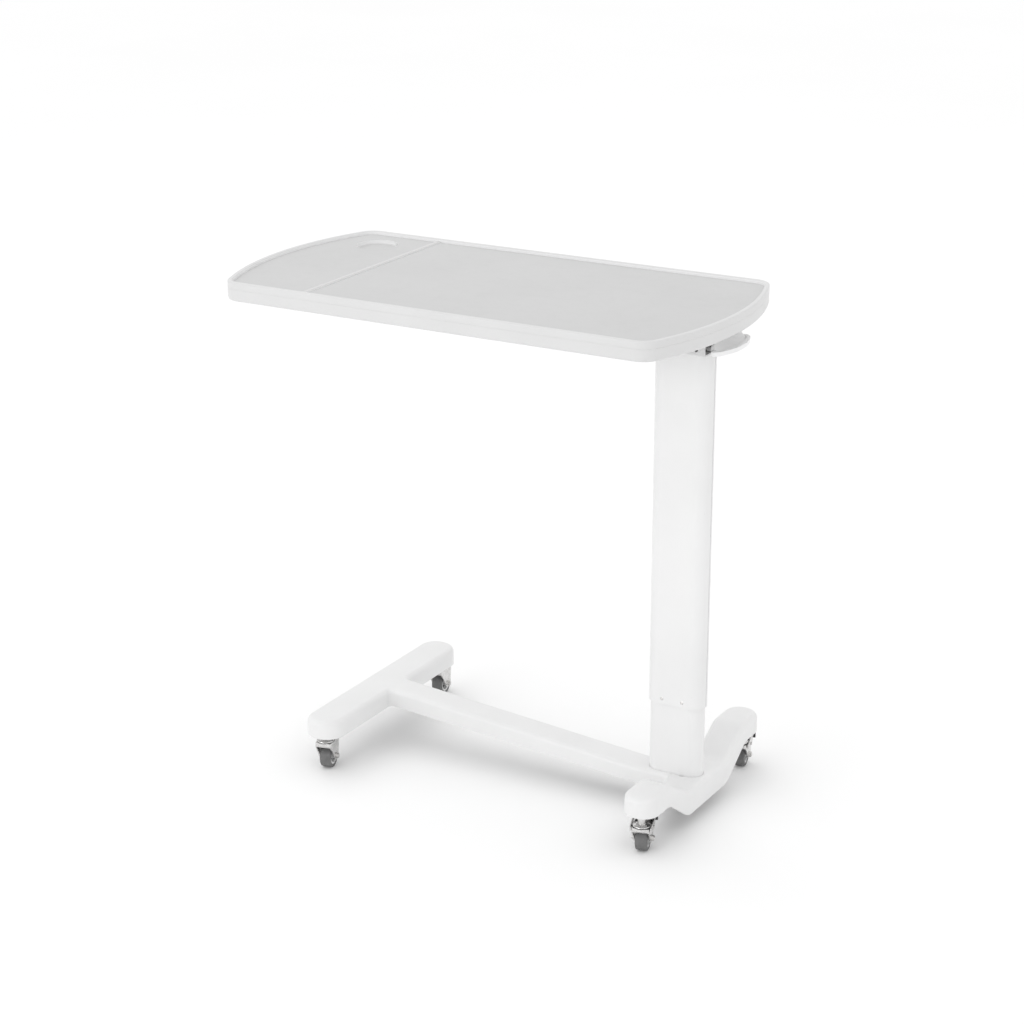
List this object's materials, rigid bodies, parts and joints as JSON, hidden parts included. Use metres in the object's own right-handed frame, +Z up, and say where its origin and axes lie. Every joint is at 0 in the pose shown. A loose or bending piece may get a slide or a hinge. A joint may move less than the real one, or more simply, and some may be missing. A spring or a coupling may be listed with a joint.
{
  "type": "overbed table",
  "caption": "Overbed table: rimmed tray on a gas-spring telescopic column at one end of a wheeled H base, with a release lever under the tray.",
  "frame": {"origin": "centre of the footprint box, on the floor", "axes": "+Z up, +X along the tray towards the column, +Y across the tray towards the cup recess"},
  "size_m": [0.838, 0.4242, 0.822],
  "materials": {
    "tray_plastic": "fine texture",
    "base_plastic": "satin",
    "lever_plastic": "satin",
    "column_paint": "powder coat",
    "bracket_paint": "powder coat",
    "frame_steel": "primer",
    "screw_zinc": "zinc plated",
    "pin_steel": "turned",
    "rod_chrome": "ground and chromed",
    "cylinder_black": "painted",
    "glide_nylon": "moulded",
    "caster_zinc": "zinc plated",
    "hub_plastic": "moulded",
    "tyre_rubber": "moulded",
    "brake_black": "moulded"
  },
  "bodies": {
    "base": {"base_cover_left": "base_plastic", "base_cover_right": "base_plastic", "frame_tube_left": "frame_steel", "frame_tube_beam": "frame_steel", "foot_plate": "frame_steel", "frame_bar_right": "frame_steel", "foot_bolts": "screw_zinc", "column_inner": "column_paint", "column_glide": "glide_nylon", "gas_cylinder": "cylinder_black", "gas_stud_nut": "screw_zinc", "caster_stem_front_left": "caster_zinc", "caster_stem_rear_left": "caster_zinc", "caster_stem_front_right": "caster_zinc", "caster_stem_rear_right": "caster_zinc", "caster_cap_front_left": "caster_zinc", "caster_cap_rear_left": "caster_zinc", "caster_cap_front_right": "caster_zinc", "caster_cap_rear_right": "caster_zinc"},
    "lift": {"tray_top": "tray_plastic", "tray_bottom": "tray_plastic", "tray_plate": "frame_steel", "stiffener_front": "frame_steel", "stiffener_rear": "frame_steel", "shell_screws": "screw_zinc", "bracket_screws": "screw_zinc", "column_sleeve": "column_paint", "sleeve_glide": "glide_nylon", "sleeve_screws": "screw_zinc", "support_bracket": "bracket_paint", "release_pivot": "pin_steel", "release_spring": "pin_steel", "gas_rod": "rod_chrome", "gas_rod_nuts": "screw_zinc"},
    "release_lever": {"release_lever": "lever_plastic"},
    "release_pin": {"release_pin": "pin_steel"},
    "swivel_front_left": {"caster_fork_front_left": "caster_zinc", "caster_axle_front_left": "screw_zinc"},
    "wheel_front_left": {"caster_hub_front_left": "hub_plastic", "caster_tyre_front_left": "tyre_rubber"},
    "swivel_rear_left": {"caster_fork_rear_left": "caster_zinc", "caster_axle_rear_left": "screw_zinc"},
    "wheel_rear_left": {"caster_hub_rear_left": "hub_plastic", "caster_tyre_rear_left": "tyre_rubber"},
    "swivel_front_right": {"caster_fork_front_right": "caster_zinc", "caster_axle_front_right": "screw_zinc", "brake_pins_front_right": "screw_zinc"},
    "wheel_front_right": {"caster_hub_front_right": "hub_plastic", "caster_tyre_front_right": "tyre_rubber"},
    "brake_front_right": {"brake_pedal_front_right": "caster_zinc", "brake_tip_front_right": "brake_black"},
    "swivel_rear_right": {"caster_fork_rear_right": "caster_zinc", "caster_axle_rear_right": "screw_zinc", "brake_pins_rear_right": "screw_zinc"},
    "wheel_rear_right": {"caster_hub_rear_right": "hub_plastic", "caster_tyre_rear_right": "tyre_rubber"},
    "brake_rear_right": {"brake_pedal_rear_right": "caster_zinc", "brake_tip_rear_right": "brake_black"}
  },
  "joints": [
    {"name": "height_lift", "type": "slide", "parent": "base", "child": "lift", "axis": [0, 0, 1], "range_m": [-0.1, 0.24]},
    {"name": "lever_squeeze", "type": "hinge", "parent": "lift", "child": "release_lever", "pos_m": [0.352, -0.00209, 0.779], "axis": [0, -1, 0], "range_deg": [0, 7], "stiffness_Nm_per_rad": 2, "springref_deg": -8.59},
    {"name": "pin_press", "type": "slide", "parent": "lift", "child": "release_pin", "axis": [0, 0, -1], "range_m": [0, 0.0035]},
    {"name": "swivel_turn_front_left", "type": "hinge", "parent": "base", "child": "swivel_front_left", "pos_m": [-0.231, -0.17809, 0.052], "axis": [0, 0, 1], "continuous": true},
    {"name": "wheel_roll_front_left", "type": "hinge", "parent": "swivel_front_left", "child": "wheel_front_left", "pos_m": [-0.23439, -0.16451, 0.0205], "axis": [0.9703, 0.2419, 0], "continuous": true},
    {"name": "swivel_turn_rear_left", "type": "hinge", "parent": "base", "child": "swivel_rear_left", "pos_m": [-0.231, 0.17391, 0.052], "axis": [0, 0, 1], "continuous": true},
    {"name": "wheel_roll_rear_left", "type": "hinge", "parent": "swivel_rear_left", "child": "wheel_rear_left", "pos_m": [-0.23246, 0.18783, 0.0205], "axis": [0.9945, 0.1045, 0], "continuous": true},
    {"name": "swivel_turn_front_right", "type": "hinge", "parent": "base", "child": "swivel_front_right", "pos_m": [0.356, -0.17809, 0.047], "axis": [0, 0, 1], "continuous": true},
    {"name": "wheel_roll_front_right", "type": "hinge", "parent": "swivel_front_right", "child": "wheel_front_right", "pos_m": [0.35214, -0.16463, 0.0205], "axis": [0.9613, 0.2756, 0], "continuous": true},
    {"name": "brake_press_front_right", "type": "hinge", "parent": "swivel_front_right", "child": "brake_front_right", "pos_m": [0.35324, -0.16848, 0.042], "axis": [-0.9613, -0.2756, 0], "range_deg": [0, 10]},
    {"name": "swivel_turn_rear_right", "type": "hinge", "parent": "base", "child": "swivel_rear_right", "pos_m": [0.356, 0.17391, 0.047], "axis": [0, 0, 1], "continuous": true},
    {"name": "wheel_roll_rear_right", "type": "hinge", "parent": "swivel_rear_right", "child": "wheel_rear_right", "pos_m": [0.35309, 0.1876, 0.0205], "axis": [0.9781, 0.2079, 0], "continuous": true},
    {"name": "brake_press_rear_right", "type": "hinge", "parent": "swivel_rear_right", "child": "brake_rear_right", "pos_m": [0.35392, 0.18369, 0.042], "axis": [-0.9781, -0.2079, 0], "range_deg": [0, 10]}
  ],
  "couplings": [
    {"joint": "pin_press", "follows": "lever_squeeze", "m_per_rad": 0.025}
  ]
}
